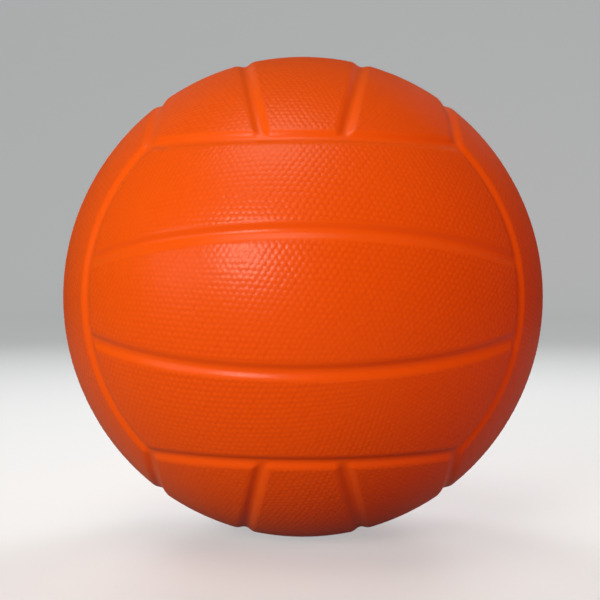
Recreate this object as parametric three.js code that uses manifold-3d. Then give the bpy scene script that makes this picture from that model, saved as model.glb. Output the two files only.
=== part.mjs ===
// A soft volleyball, from the inside out: a butyl bladder with a two-piece needle valve, a wound
// thread layer, a rubber carcass, and a cover of eighteen foam-rubber panels in six faces of three.
// Millimetres, +Z up. The origin is the middle of the small flat that the ball rests on.
// The front of the ball faces -Y, and the valve is in the middle of the back, on +Y.
import * as THREE from "three";
import { mergeVertices } from "three/addons/utils/BufferGeometryUtils.js";
import Module from "manifold-3d";

const wasm = await Module();
wasm.setup();

// Driving dimensions of the ball and its layers, counted from the outside in
const BALL_RADIUS = 105; // 66 cm round, a size 5 ball
const COVER_THICKNESS = 4;
const CARCASS_THICKNESS = 0.6;
const WINDING_THICKNESS = 0.5;
const BLADDER_THICKNESS = 0.7;
const LAYER_GAP = 0.3; // between one layer and the next
const REST_FLAT_DEPTH = 0.6; // the soft ball flattens this much where it stands

// The seams
const MIDDLE_STRIP_HALF_ANGLE = THREE.MathUtils.degToRad(14);
const SEAM_DEPTH = 1.3; // from the panels' outer surface down to the butt line
const SEAM_HALF_WIDTH = 4.5; // from the butt line to where a panel has its full height
const BUTT_GAP = 0.3; // between the edges of two panels

// The needle valve, along the ball's back axis
const VALVE_DISH_RADIUS = 8.5; // the smooth dish that the mould leaves round the valve
const VALVE_DISH_DEPTH = 0.6;
const NECK_RADIUS = 4.2; // the seat's neck, which shows through the cover
const NECK_CLEARANCE = 0.3;
const FLANGE_RADIUS = 16; // the seat's flange, bonded to the inside of the bladder
const FLANGE_THICKNESS = 1.5;
const FLANGE_RIM_THICKNESS = 0.6;
const BOSS_RADIUS = 4.6; // the seat's boss, inside the ball
const BOSS_TIP_RADIUS = 3.6;
const BOSS_LENGTH = 12;
const BORE_RADIUS = 2.4;
const MOUTH_RADIUS = 2.9; // the wider top of the bore, where the core's head sits
const MOUTH_DEPTH = 1.2;
const CORE_CLEARANCE = 0.2; // all round the core
const CORE_LENGTH = 18;
const CORE_TIP_RADIUS = 1.2;
const CORE_TIP_LENGTH = 2;
const FUNNEL_RADIUS = 1.3; // the mouth that guides the needle in
const FUNNEL_DEPTH = 2.4;
const NEEDLE_HOLE_RADIUS = 0.5;
const NEEDLE_HOLE_DEPTH = 9;

// Facets
const PANEL_STEPS_ALONG = 14;
const PANEL_STEPS_ACROSS = 4;
const FINE_PANEL = 2; // times as many steps on the two panels that have a flat or a hole
const SEAM_RINGS = 3; // bands of facets down the side of a seam
const VALVE_SEGMENTS = 24; // round the valve axis, on the valve and its hole
const LAYER_SEGMENTS = 20; // round the valve axis, on the layers of the ball
const LAYER_STEPS = 10; // from the valve's flange to the far side of a layer

// Radii that follow from the layers
const COVER_INNER = BALL_RADIUS - COVER_THICKNESS;
const CARCASS_OUTER = COVER_INNER - LAYER_GAP;
const CARCASS_INNER = CARCASS_OUTER - CARCASS_THICKNESS;
const WINDING_OUTER = CARCASS_INNER - LAYER_GAP;
const WINDING_INNER = WINDING_OUTER - WINDING_THICKNESS;
const BLADDER_OUTER = WINDING_INNER - LAYER_GAP;
const BLADDER_INNER = BLADDER_OUTER - BLADDER_THICKNESS;
const FLANGE_OUTER = BLADDER_INNER - LAYER_GAP;
const HOLE_RADIUS = NECK_RADIUS + NECK_CLEARANCE;
const CENTRE_HEIGHT = BALL_RADIUS - REST_FLAT_DEPTH;

// A face of the ball is bounded by four planes that cut the sphere through the corners of a cube.
const CORNER_ANGLE = Math.asin(1 / Math.sqrt(3));

// Each face has its own frame: x out of the ball, y along the three strips and z across them.
// A strip lies between two planes that run along y. A plane is given by its tilt about y and by
// the angle at which it passes the ball's centre.
const STRIPS = {
  middle: {
    lower: { tilt: -MIDDLE_STRIP_HALF_ANGLE, angle: 0 },
    upper: { tilt: MIDDLE_STRIP_HALF_ANGLE, angle: 0 },
  },
  outer: {
    lower: { tilt: MIDDLE_STRIP_HALF_ANGLE, angle: 0 },
    upper: { tilt: 0, angle: CORNER_ANGLE },
  },
};

const foam = new THREE.MeshStandardMaterial({ color: 0xf0560f, roughness: 0.5, metalness: 0 });
const carcassRubber = new THREE.MeshStandardMaterial({ color: 0x3a3836, roughness: 0.8, metalness: 0 });
const nylonThread = new THREE.MeshStandardMaterial({ color: 0xe8e2d2, roughness: 0.6, metalness: 0 });
const butyl = new THREE.MeshStandardMaterial({ color: 0x1b1b1d, roughness: 0.55, metalness: 0 });
const valveRubber = new THREE.MeshStandardMaterial({ color: 0x161616, roughness: 0.6, metalness: 0 });
const coreRubber = new THREE.MeshStandardMaterial({ color: 0x242424, roughness: 0.45, metalness: 0 });

// The height above the y axis at which a strip's edge plane meets the plane that ends the strip
function endHeight(plane, endX, shift) {
  return (Math.sin(plane.angle + shift) + endX * Math.sin(plane.tilt)) / Math.cos(plane.tilt);
}

// A direction on a strip. u runs from -1 to 1 along it and v from 0 to 1 across it, and the edges
// stand back from the seams by inset, measured on the ball's surface.
function stripDirection(strip, u, v, inset) {
  const shift = inset / BALL_RADIUS;
  const endX = Math.sin(CORNER_ANGLE + shift);
  const lowZ = endHeight(strip.lower, endX, shift);
  const highZ = endHeight(strip.upper, endX, -shift);
  const endZ = THREE.MathUtils.lerp(lowZ, highZ, v);
  const tilt = THREE.MathUtils.lerp(strip.lower.tilt, strip.upper.tilt, v);
  const out = new THREE.Vector3(Math.cos(tilt), 0, Math.sin(tilt));
  const up = new THREE.Vector3(-Math.sin(tilt), 0, Math.cos(tilt));
  const end = new THREE.Vector3(endX, 0, endZ);
  const height = end.dot(up);
  const arcRadius = Math.sqrt(1 - height * height);
  const turn = u * Math.acos(end.dot(out) / arcRadius);
  return up
    .multiplyScalar(height)
    .addScaledVector(out, arcRadius * Math.cos(turn))
    .add(new THREE.Vector3(0, arcRadius * Math.sin(turn), 0));
}

// How far a direction is from a strip's edge plane, in millimetres on the ball's surface
function distanceToPlane(direction, plane) {
  const height = direction.z * Math.cos(plane.tilt) - direction.x * Math.sin(plane.tilt);
  return Math.abs(Math.asin(height) - plane.angle) * BALL_RADIUS;
}

// A panel's edge rises in half a wave, from level at the butt line to level at SEAM_HALF_WIDTH.
function rise(distance) {
  return (1 - Math.cos(Math.PI * Math.min(distance / SEAM_HALF_WIDTH, 1))) / 2;
}

function outerRadius(strip, direction) {
  const fromEnd = (Math.asin(direction.x) - CORNER_ANGLE) * BALL_RADIUS;
  const height =
    rise(fromEnd) *
    rise(distanceToPlane(direction, strip.lower)) *
    rise(distanceToPlane(direction, strip.upper));
  return BALL_RADIUS - SEAM_DEPTH * (1 - height);
}

// The inside of a panel keeps its facets clear of the layer below: its corners stand out by what
// a facet's longest diagonal dips.
function innerCornerRadius() {
  const along = (2 * (Math.PI / 2 - CORNER_ANGLE)) / PANEL_STEPS_ALONG;
  const across = (2 * MIDDLE_STRIP_HALF_ANGLE) / PANEL_STEPS_ACROSS;
  return COVER_INNER / Math.cos(Math.hypot(along, across) / 2);
}

// The grid positions round the edge of a panel, anticlockwise from outside
function edgePositions(nu, nv) {
  const positions = [];
  for (let i = 0; i < nu; i++) positions.push([i, 0]);
  for (let j = 0; j < nv; j++) positions.push([nu, j]);
  for (let i = nu; i > 0; i--) positions.push([i, nv]);
  for (let j = nv; j > 0; j--) positions.push([0, j]);
  return positions;
}

// One panel as a closed body: rings of facets down its rolled edges, a grid on top, a grid inside
// and walls at the butt lines
function panelGeometry(strip, fineness = 1) {
  const nu = PANEL_STEPS_ALONG * fineness;
  const nv = PANEL_STEPS_ACROSS * fineness;
  const edgeInset = BUTT_GAP / 2;
  const innerRadius = innerCornerRadius();
  const points = [];
  const triangles = [];

  function addPoint(i, j, inset, radiusOf) {
    const direction = stripDirection(strip, (2 * i) / nu - 1, j / nv, inset);
    return points.push(direction.multiplyScalar(radiusOf(direction))) - 1;
  }
  function addQuad(a, b, c, d) {
    triangles.push(a, b, c, a, c, d);
  }
  function addGrid(inset, radiusOf) {
    return Array.from({ length: nu + 1 }, (_, i) =>
      Array.from({ length: nv + 1 }, (_, j) => addPoint(i, j, inset, radiusOf)),
    );
  }

  const onTop = (direction) => outerRadius(strip, direction);
  const top = addGrid(SEAM_HALF_WIDTH, onTop);
  const inside = addGrid(edgeInset, () => innerRadius);
  for (let i = 0; i < nu; i++)
    for (let j = 0; j < nv; j++) {
      addQuad(top[i][j], top[i + 1][j], top[i + 1][j + 1], top[i][j + 1]);
      addQuad(inside[i][j], inside[i][j + 1], inside[i + 1][j + 1], inside[i + 1][j]);
    }

  const edge = edgePositions(nu, nv);
  const rings = [edge.map(([i, j]) => inside[i][j])];
  for (let ring = 0; ring < SEAM_RINGS; ring++) {
    const inset = THREE.MathUtils.lerp(edgeInset, SEAM_HALF_WIDTH, ring / SEAM_RINGS);
    rings.push(edge.map(([i, j]) => addPoint(i, j, inset, onTop)));
  }
  rings.push(edge.map(([i, j]) => top[i][j]));
  for (let ring = 0; ring + 1 < rings.length; ring++)
    for (let k = 0; k < edge.length; k++) {
      const next = (k + 1) % edge.length;
      addQuad(rings[ring][k], rings[ring][next], rings[ring + 1][next], rings[ring + 1][k]);
    }

  const geometry = new THREE.BufferGeometry().setFromPoints(points);
  geometry.setIndex(triangles);
  geometry.computeVertexNormals();
  return geometry;
}

function solidOf(geometry) {
  const bare = geometry.clone();
  bare.deleteAttribute("normal");
  bare.deleteAttribute("uv");
  const merged = mergeVertices(bare);
  return new wasm.Manifold(
    new wasm.Mesh({
      numProp: 3,
      vertProperties: merged.attributes.position.array,
      triVerts: new Uint32Array(merged.index.array),
    }),
  );
}

function geometryOf(solid) {
  const { vertProperties, triVerts } = solid.getMesh();
  const geometry = new THREE.BufferGeometry();
  geometry.setAttribute("position", new THREE.BufferAttribute(vertProperties, 3));
  geometry.setIndex(new THREE.BufferAttribute(triVerts, 1));
  geometry.computeVertexNormals();
  return geometry;
}

// Bores a panel at the middle of its face, from a distance above the ball's centre outwards
function bored(geometry, radius, fromDistance) {
  const length = 2 * BALL_RADIUS - fromDistance;
  const cutter = new THREE.CylinderGeometry(radius, radius, length, VALVE_SEGMENTS);
  cutter.rotateZ(-Math.PI / 2);
  cutter.translate(fromDistance + length / 2, 0, 0);
  return geometryOf(solidOf(geometry).subtract(solidOf(cutter)));
}

// The back middle panel has the valve's dish and hole.
function valvePanelGeometry() {
  const plain = panelGeometry(STRIPS.middle, FINE_PANEL);
  const dished = bored(plain, VALVE_DISH_RADIUS, BALL_RADIUS - VALVE_DISH_DEPTH);
  return bored(dished, HOLE_RADIUS, COVER_INNER - COVER_THICKNESS);
}

// The bottom middle panel is pressed flat where the ball stands.
function restPanelGeometry() {
  const plain = panelGeometry(STRIPS.middle, FINE_PANEL);
  const pastTheFlat = 2 * Math.sqrt(2 * BALL_RADIUS * REST_FLAT_DEPTH);
  return bored(plain, pastTheFlat, BALL_RADIUS - REST_FLAT_DEPTH);
}

// The six faces: their frames, and the names of their three strips from -z to +z
const X = new THREE.Vector3(1, 0, 0);
const Y = new THREE.Vector3(0, 1, 0);
const Z = new THREE.Vector3(0, 0, 1);
const FACES = [
  { name: "front", out: Y.clone().negate(), along: X, strips: ["lower", "middle", "upper"] },
  { name: "back", out: Y, along: X.clone().negate(), strips: ["lower", "middle", "upper"] },
  { name: "top", out: Z, along: Y.clone().negate(), strips: ["left", "middle", "right"] },
  { name: "bottom", out: Z.clone().negate(), along: Y, strips: ["left", "middle", "right"] },
  { name: "right", out: X, along: Z, strips: ["rear", "middle", "front"] },
  { name: "left", out: X.clone().negate(), along: Z.clone().negate(), strips: ["rear", "middle", "front"] },
];

function addFaces(ball) {
  const middle = panelGeometry(STRIPS.middle);
  const outer = panelGeometry(STRIPS.outer);
  const special = { back: valvePanelGeometry(), bottom: restPanelGeometry() };
  for (const { name, out, along, strips } of FACES) {
    const face = new THREE.Group();
    const across = new THREE.Vector3().crossVectors(out, along);
    face.setRotationFromMatrix(new THREE.Matrix4().makeBasis(out, along, across));
    ball.add(face);
    strips.forEach((strip, index) => {
      const isMiddle = index === 1;
      const geometry = isMiddle ? (special[name] ?? middle) : outer;
      const panel = new THREE.Mesh(geometry, foam);
      panel.name = `${name}_panel_${strip}`;
      if (index === 0) panel.rotation.x = Math.PI; // the outer strip again, turned to the other side
      face.add(panel);
    });
  }
}

// A point at an angle from the valve axis, as a point of a turned profile
function profilePoint(radius, angle) {
  return new THREE.Vector2(radius * Math.sin(angle), radius * Math.cos(angle));
}

// The angles from the valve axis at which a layer has its corners: at its hole, at the edge of
// the valve's flange, and in even steps from there to the far side
function layerAngles(radius) {
  const flangeAngle = Math.asin(FLANGE_RADIUS / FLANGE_OUTER);
  const angles = [Math.asin(HOLE_RADIUS / radius)];
  for (let step = 0; step < LAYER_STEPS; step++)
    angles.push(THREE.MathUtils.lerp(flangeAngle, Math.PI, step / LAYER_STEPS));
  return angles;
}

// A closed layer of the ball with a hole for the valve
function layerGeometry(outer, inner) {
  const outside = layerAngles(outer).map((angle) => profilePoint(outer, angle)).reverse();
  const inside = layerAngles(inner).map((angle) => profilePoint(inner, angle));
  const farOuter = new THREE.Vector2(0, -outer);
  const farInner = new THREE.Vector2(0, -inner);
  return new THREE.LatheGeometry([farOuter, ...outside, ...inside, farInner], LAYER_SEGMENTS);
}

// Heights of the valve along its axis, from the ball's centre
const VALVE_TOP = BALL_RADIUS - VALVE_DISH_DEPTH;
const FLANGE_TOP = profilePoint(FLANGE_OUTER, Math.asin(HOLE_RADIUS / BLADDER_INNER)).y;
const FLANGE_BOTTOM = FLANGE_TOP - FLANGE_THICKNESS;
const BOSS_END = FLANGE_BOTTOM - BOSS_LENGTH;

// The rubber seat: a neck that shows through the cover, a domed flange and a bored boss
function valveSeatGeometry() {
  const rim = profilePoint(FLANGE_OUTER, Math.asin(FLANGE_RADIUS / FLANGE_OUTER));
  const profile = [
    new THREE.Vector2(BORE_RADIUS, BOSS_END),
    new THREE.Vector2(BOSS_TIP_RADIUS, BOSS_END),
    new THREE.Vector2(BOSS_RADIUS, FLANGE_BOTTOM),
    new THREE.Vector2(rim.x, rim.y - FLANGE_RIM_THICKNESS),
    rim,
    new THREE.Vector2(NECK_RADIUS, FLANGE_TOP),
    new THREE.Vector2(NECK_RADIUS, VALVE_TOP),
    new THREE.Vector2(MOUTH_RADIUS, VALVE_TOP),
    new THREE.Vector2(MOUTH_RADIUS, VALVE_TOP - MOUTH_DEPTH),
    new THREE.Vector2(BORE_RADIUS, VALVE_TOP - MOUTH_DEPTH),
    new THREE.Vector2(BORE_RADIUS, BOSS_END),
  ];
  return new THREE.LatheGeometry(profile, VALVE_SEGMENTS);
}

// The rubber core: a plug with a head, a funnel for the needle and a blind hole that leads it to
// the slit in the solid end
function valveCoreGeometry() {
  const headRadius = MOUTH_RADIUS - CORE_CLEARANCE;
  const shankRadius = BORE_RADIUS - CORE_CLEARANCE;
  const headBottom = VALVE_TOP - MOUTH_DEPTH + CORE_CLEARANCE;
  const tip = VALVE_TOP - CORE_LENGTH;
  const profile = [
    new THREE.Vector2(0, tip),
    new THREE.Vector2(CORE_TIP_RADIUS, tip),
    new THREE.Vector2(shankRadius, tip + CORE_TIP_LENGTH),
    new THREE.Vector2(shankRadius, headBottom),
    new THREE.Vector2(headRadius, headBottom),
    new THREE.Vector2(headRadius, VALVE_TOP),
    new THREE.Vector2(FUNNEL_RADIUS, VALVE_TOP),
    new THREE.Vector2(NEEDLE_HOLE_RADIUS, VALVE_TOP - FUNNEL_DEPTH),
    new THREE.Vector2(NEEDLE_HOLE_RADIUS, VALVE_TOP - NEEDLE_HOLE_DEPTH),
    new THREE.Vector2(0, VALVE_TOP - NEEDLE_HOLE_DEPTH),
  ];
  return new THREE.LatheGeometry(profile, VALVE_SEGMENTS);
}

function addPiece(ball, name, geometry, material) {
  const piece = new THREE.Mesh(geometry, material);
  piece.name = name;
  ball.add(piece);
}

const ball = new THREE.Group();
ball.position.z = CENTRE_HEIGHT;
addFaces(ball);
addPiece(ball, "rubber_carcass", layerGeometry(CARCASS_OUTER, CARCASS_INNER), carcassRubber);
addPiece(ball, "thread_winding", layerGeometry(WINDING_OUTER, WINDING_INNER), nylonThread);
addPiece(ball, "bladder", layerGeometry(BLADDER_OUTER, BLADDER_INNER), butyl);
addPiece(ball, "valve_seat", valveSeatGeometry(), valveRubber);
addPiece(ball, "valve_core", valveCoreGeometry(), coreRubber);

const volleyball = new THREE.Group();
volleyball.add(ball);

export default volleyball;
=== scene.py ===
# %% [markdown]
# # A soft volleyball
# A soft volleyball is made from the inside out. A butyl bladder is blown up, wound with nylon
# thread and covered with a thin rubber carcass. Eighteen panels of foam rubber are laid on it edge
# to edge, and the whole ball is cured in a hot mould, which presses its pebbles and its rolled
# seams into the skin.
#
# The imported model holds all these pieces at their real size. This script dresses them. It works in
# metres, in the model's own frame: +Z is up, the front is -Y and the valve is on +Y.

# %% Load the frame
import math

import bmesh
import bpy
import numpy as np
from mathutils import Matrix, Vector


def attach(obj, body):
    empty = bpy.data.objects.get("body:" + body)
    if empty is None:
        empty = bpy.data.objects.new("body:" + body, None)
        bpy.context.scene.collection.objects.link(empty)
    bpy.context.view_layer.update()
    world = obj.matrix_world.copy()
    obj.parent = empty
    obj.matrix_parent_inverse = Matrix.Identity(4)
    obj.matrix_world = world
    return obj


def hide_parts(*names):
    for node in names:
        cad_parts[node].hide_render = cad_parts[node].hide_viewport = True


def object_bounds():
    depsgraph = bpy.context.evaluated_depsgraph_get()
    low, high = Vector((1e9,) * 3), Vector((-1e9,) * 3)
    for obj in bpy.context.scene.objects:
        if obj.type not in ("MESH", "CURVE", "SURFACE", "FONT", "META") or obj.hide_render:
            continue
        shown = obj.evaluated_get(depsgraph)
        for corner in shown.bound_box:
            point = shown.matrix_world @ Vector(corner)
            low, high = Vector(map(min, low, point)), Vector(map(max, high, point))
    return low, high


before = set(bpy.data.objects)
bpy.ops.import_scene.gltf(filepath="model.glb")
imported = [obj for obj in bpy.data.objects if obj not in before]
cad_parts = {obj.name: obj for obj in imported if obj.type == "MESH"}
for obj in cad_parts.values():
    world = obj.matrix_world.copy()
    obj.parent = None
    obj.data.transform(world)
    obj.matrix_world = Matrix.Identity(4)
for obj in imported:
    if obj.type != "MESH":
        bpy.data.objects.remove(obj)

CAD_LOW, CAD_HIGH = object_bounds()
MM = 0.001
BALL_RADIUS = CAD_HIGH.x
BALL_CENTRE = Vector((0, 0, CAD_HIGH.z - BALL_RADIUS))
print(f"ball: radius {BALL_RADIUS / MM:.1f} mm, centre {BALL_CENTRE.z / MM:.1f} mm above its rest")

# %% [markdown]
# ## The camera
# The photograph looks straight at the front of the ball, from less than one degree above the level
# of its middle. In it the ball is a circle of 240 pixels' radius in a frame of 600. Its seams bend
# as they do on a ball seen from a little over two diameters away, which sets the distance. A ball
# at that distance and of that size in the frame sets the lens. The ball isn't quite in the middle
# of the frame, so the camera is turned a little and not shifted.

# %% Place the camera
FRAME_PIXELS = 600
BALL_PIXELS = 240
BALL_PIXEL_X = 302.85
BALL_PIXEL_Y = 296.93
VIEW_DISTANCE = 4.7 * BALL_RADIUS
VIEW_UP = math.radians(0.85)
SENSOR_WIDTH = 36.0


def place_camera():
    """A camera in front of the ball, turned so that the ball lies where the photograph has it."""
    focal_pixels = BALL_PIXELS / math.tan(math.asin(BALL_RADIUS / VIEW_DISTANCE))
    turn_left = math.atan((BALL_PIXEL_X - FRAME_PIXELS / 2) / focal_pixels)
    tip_down = math.atan((FRAME_PIXELS / 2 - BALL_PIXEL_Y) / focal_pixels)
    data = bpy.data.cameras.new("photo_view")
    data.sensor_width = SENSOR_WIDTH
    data.lens = focal_pixels / FRAME_PIXELS * SENSOR_WIDTH
    data.clip_start = 0.01
    camera = bpy.data.objects.new("photo_view", data)
    direction = Vector((0, -math.cos(VIEW_UP), math.sin(VIEW_UP)))
    camera.location = BALL_CENTRE + direction * VIEW_DISTANCE
    camera.rotation_euler = (math.pi / 2 - VIEW_UP - tip_down, 0, turn_left)
    bpy.context.scene.collection.objects.link(camera)
    bpy.context.scene.camera = camera
    return camera


camera = place_camera()
print(f"camera: {camera.data.lens:.1f} mm lens, {VIEW_DISTANCE:.3f} m from the ball's centre")

# %% [markdown]
# ## Three small tools
# Colours are written as hex values, as a paint chart gives them, and Blender's shaders want linear
# numbers, so one function turns the one into the other.
#
# Another function adds a node to any tree. It sets the node's own settings, and then fills its
# sockets, in their order from a list or by their names from a dictionary. A plain value is set, and
# a node or a socket is linked. Several nodes can go into one socket, such as the parts to join.
#
# A third one starts a tree of Geometry Nodes, with the inputs that it shows as a modifier.

# %% Colour and node helpers
def colour(hex_value):
    """An sRGB hex colour as linear red, green, blue and alpha."""
    channels = [int(hex_value[i : i + 2], 16) / 255 for i in (1, 3, 5)]
    return (*[c / 12.92 if c <= 0.04045 else ((c + 0.055) / 1.055) ** 2.4 for c in channels], 1.0)


def add_node(tree, kind, inputs=(), **settings):
    """Adds a node with its settings, and fills its sockets with values, nodes or sockets."""
    node = tree.nodes.new(kind)
    for name, value in settings.items():
        setattr(node, name, value)
    sockets = [socket for socket in node.inputs if socket.enabled]
    if isinstance(inputs, dict):
        pairs = [(next(s for s in sockets if s.name == name), inputs[name]) for name in inputs]
    else:
        pairs = list(zip(sockets, inputs))
    for socket, value in pairs:
        for source in value if isinstance(value, list) else [value]:
            if isinstance(source, bpy.types.Node):
                source = next(output for output in source.outputs if output.enabled)
            if isinstance(source, bpy.types.NodeSocket):
                tree.links.new(source, socket)
            else:
                socket.default_value = source
    return node


def new_geometry_tree(name, inputs):
    """An empty tree for a modifier, with a geometry output and the inputs that are named."""
    tree = bpy.data.node_groups.new(name, "GeometryNodeTree")
    tree.is_modifier = True
    tree.interface.new_socket("Geometry", in_out="OUTPUT", socket_type="NodeSocketGeometry")
    for label, kind in inputs:
        tree.interface.new_socket(label, in_out="INPUT", socket_type=f"NodeSocket{kind}")
    return tree


print("a middle grey, linear:", [round(c, 3) for c in colour("#808080")])

# %% [markdown]
# ## The pattern of the panels
# The ball has six faces, one to each side of a cube, and each face is three strips. The strips of
# neighbouring faces run at right angles, so every strip ends against the side of another. Their
# edges lie where flat planes cut the ball: the long edges of a face in planes that pass through
# the cube's corners, and the two inner seams in planes that pass through the ball's centre, tilted
# 14 degrees to either side. So a strip needs no drawing. It is two planes, and a grid between them.
#
# Every strip is worked out once in a frame of its own, x out of the ball, y along the strip and z
# across it, and is then turned to its face.

# %% A strip as a grid of directions
INNER_SEAM_TILT = math.radians(14)
CORNER_ANGLE = math.asin(1 / math.sqrt(3))
STRIPS = {
    "middle": {"lower": (-INNER_SEAM_TILT, 0.0), "upper": (INNER_SEAM_TILT, 0.0)},
    "outer": {"lower": (INNER_SEAM_TILT, 0.0), "upper": (0.0, CORNER_ANGLE)},
}


def strip_directions(strip, along, across, inset):
    """Unit vectors of a grid on a strip. along runs from -1 to 1, across from 0 to 1, and the
    edges stand back from the seams by inset, measured on the ball."""
    shift = inset / BALL_RADIUS
    end_x = math.sin(CORNER_ANGLE + shift)
    (low_tilt, low_angle), (high_tilt, high_angle) = strip["lower"], strip["upper"]
    low_z = (math.sin(low_angle + shift) + end_x * math.sin(low_tilt)) / math.cos(low_tilt)
    high_z = (math.sin(high_angle - shift) + end_x * math.sin(high_tilt)) / math.cos(high_tilt)
    end_z = low_z + (high_z - low_z) * across
    tilt = low_tilt + (high_tilt - low_tilt) * across
    height = end_z * np.cos(tilt) - end_x * np.sin(tilt)
    arc = np.sqrt(1 - height**2)
    turn = along * np.arccos((end_x * np.cos(tilt) + end_z * np.sin(tilt)) / arc)
    x = arc * np.cos(turn) * np.cos(tilt) - height * np.sin(tilt)
    z = arc * np.cos(turn) * np.sin(tilt) + height * np.cos(tilt)
    return np.stack([x, arc * np.sin(turn), z], axis=-1)


def seam_distances(strip, directions):
    """How far each direction is from the strip's end, lower edge and upper edge, in metres."""
    x, z = directions[..., 0], directions[..., 2]
    from_planes = [
        np.abs(np.arcsin(z * math.cos(tilt) - x * math.sin(tilt)) - angle)
        for tilt, angle in (strip["lower"], strip["upper"])
    ]
    from_end = np.arcsin(x) - CORNER_ANGLE
    return [distance * BALL_RADIUS for distance in (from_end, *from_planes)]


for name, strip in STRIPS.items():
    across_middle = strip_directions(strip, np.zeros(2), np.array([0.0, 1.0]), 0.0)
    width = BALL_RADIUS * math.acos(float(across_middle[0] @ across_middle[1]))
    print(f"{name} strip: {width / MM:.1f} mm wide at its middle")

# %% [markdown]
# ## A panel before it is pebbled
# A panel is a slab of foam rubber 4 mm thick. The mould rolls its edges in, so that two panels
# meet in a shallow trough 7 mm wide. That could be a bevel, but a bevel is round all the way, and
# here the side of the trough rises gently at the seam, then steeply, and ends level with the skin.
# Its edge is what the light draws as a dark line above each seam and a pale one below it. So the
# height of each point is worked out from its distance to the seam.
#
# The outside needs a fine grid, because it will carry the pebbles. The inside needs none, so only
# every eighth point is kept there, and along its edges every one, where the sides of the slab join
# it to the outside.

# %% Make the blanks of the two kinds of panel
COVER_THICKNESS = 4.0 * MM
SEAM_DEPTH = 1.1 * MM
SEAM_HALF_WIDTH = 3.6 * MM
LIP_BEGINS = 0.1
FLOOR_SHARE = 0.25
BUTT_GAP = 0.006 * MM
PEBBLE_HEIGHT = 0.2 * MM
GRID_SPACING = 0.44 * MM
INSIDE_STEP = 8


def rise(distance):
    """The trough's side, from 0 at the seam to 1 at its edge: a gentle floor, then a lip."""
    share = np.clip(distance / SEAM_HALF_WIDTH, 0, 1)
    lip = np.clip((share - LIP_BEGINS) / (1 - LIP_BEGINS), 0, 1)
    lip = lip * lip * (3 - 2 * lip)
    floor = (1 - np.cos(np.pi * share)) / 2
    return FLOOR_SHARE * floor + (1 - FLOOR_SHARE) * lip


def grid_counts(strip):
    """Grid steps along and across a strip, in whole inside steps and even in number."""
    edge = strip_directions(strip, np.array([-1.0, 1.0]), np.zeros(2), 0.0)
    middle = strip_directions(strip, np.zeros(2), np.array([0.0, 1.0]), 0.0)
    lengths = [BALL_RADIUS * math.acos(float(a @ b)) for a, b in (edge, middle)]
    return [2 * INSIDE_STEP * round(length / GRID_SPACING / 2 / INSIDE_STEP) for length in lengths]


def panel_blank(name, strip):
    """A closed mesh of one panel, with each outer point's distance to the nearest seam."""
    steps_along, steps_across = grid_counts(strip)
    along, across = np.meshgrid(
        np.linspace(-1, 1, steps_along + 1), np.linspace(0, 1, steps_across + 1), indexing="ij"
    )
    directions = strip_directions(strip, along, across, BUTT_GAP / 2)
    distances = seam_distances(strip, directions)
    height = rise(distances[0]) * rise(distances[1]) * rise(distances[2])
    radius = BALL_RADIUS - PEBBLE_HEIGHT - SEAM_DEPTH * (1 - height)
    outside = (directions * radius[..., None]).reshape(-1, 3)
    index = np.arange(outside.shape[0]).reshape(along.shape)
    corners = [index[:-1, :-1], index[1:, :-1], index[1:, 1:], index[:-1, 1:]]
    faces = np.stack(corners, axis=-1).reshape(-1, 4).tolist()

    kept = np.zeros(index.shape, bool)
    kept[::INSIDE_STEP, ::INSIDE_STEP] = True
    kept[[0, -1], :] = True
    kept[:, [0, -1]] = True
    inside = directions[kept] * (BALL_RADIUS - COVER_THICKNESS)
    inner = np.full(index.shape, -1)
    inner[kept] = outside.shape[0] + np.arange(inside.shape[0])
    for i in range(0, steps_along, INSIDE_STEP):
        for j in range(0, steps_across, INSIDE_STEP):
            cell = inner[i : i + INSIDE_STEP + 1, j : j + INSIDE_STEP + 1]
            rim = [*cell[0, :-1], *cell[:-1, -1], *cell[-1, :0:-1], *cell[:0:-1, 0]]
            faces.append([int(k) for k in rim if k >= 0])

    def rim_of(grid):
        return [*grid[:-1, 0], *grid[-1, :-1], *grid[:0:-1, -1], *grid[0, :0:-1]]

    top, bottom = rim_of(index), rim_of(inner)
    for k in range(len(top)):
        following = (k + 1) % len(top)
        faces.append([int(bottom[k]), int(bottom[following]), int(top[following]), int(top[k])])

    mesh = bpy.data.meshes.new(name)
    mesh.from_pydata(np.concatenate([outside, inside]).tolist(), [], faces)
    seam = np.full(len(mesh.vertices), -1.0, np.float32)
    seam[: outside.shape[0]] = np.minimum.reduce(distances).ravel()
    mesh.attributes.new("seam_distance", "FLOAT", "POINT").data.foreach_set("value", seam)
    return mesh


blanks = {name: panel_blank(f"{name}_blank", strip) for name, strip in STRIPS.items()}
for name, blank in blanks.items():
    print(f"{name} blank: {len(blank.vertices)} points, {len(blank.polygons)} faces")

# %% [markdown]
# ## The pebbles
# The mould's pebbles are low domes a little over 2 mm apart, in even rows that curve gently over
# the ball and take no notice of the panels. A noise or cell texture would give pebbles of all
# sizes with no rows. The points of a geodesic dome lie in rows, with six neighbours round almost
# every one, so an icosphere gives the places: one pebble for each of its corners and one for the
# middle of each triangle, 30,722 in all.
#
# A tree of Geometry Nodes then raises the skin. It asks each point of a panel how far the nearest
# pebble's middle is, and lifts the point by the height of the dome there.

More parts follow.
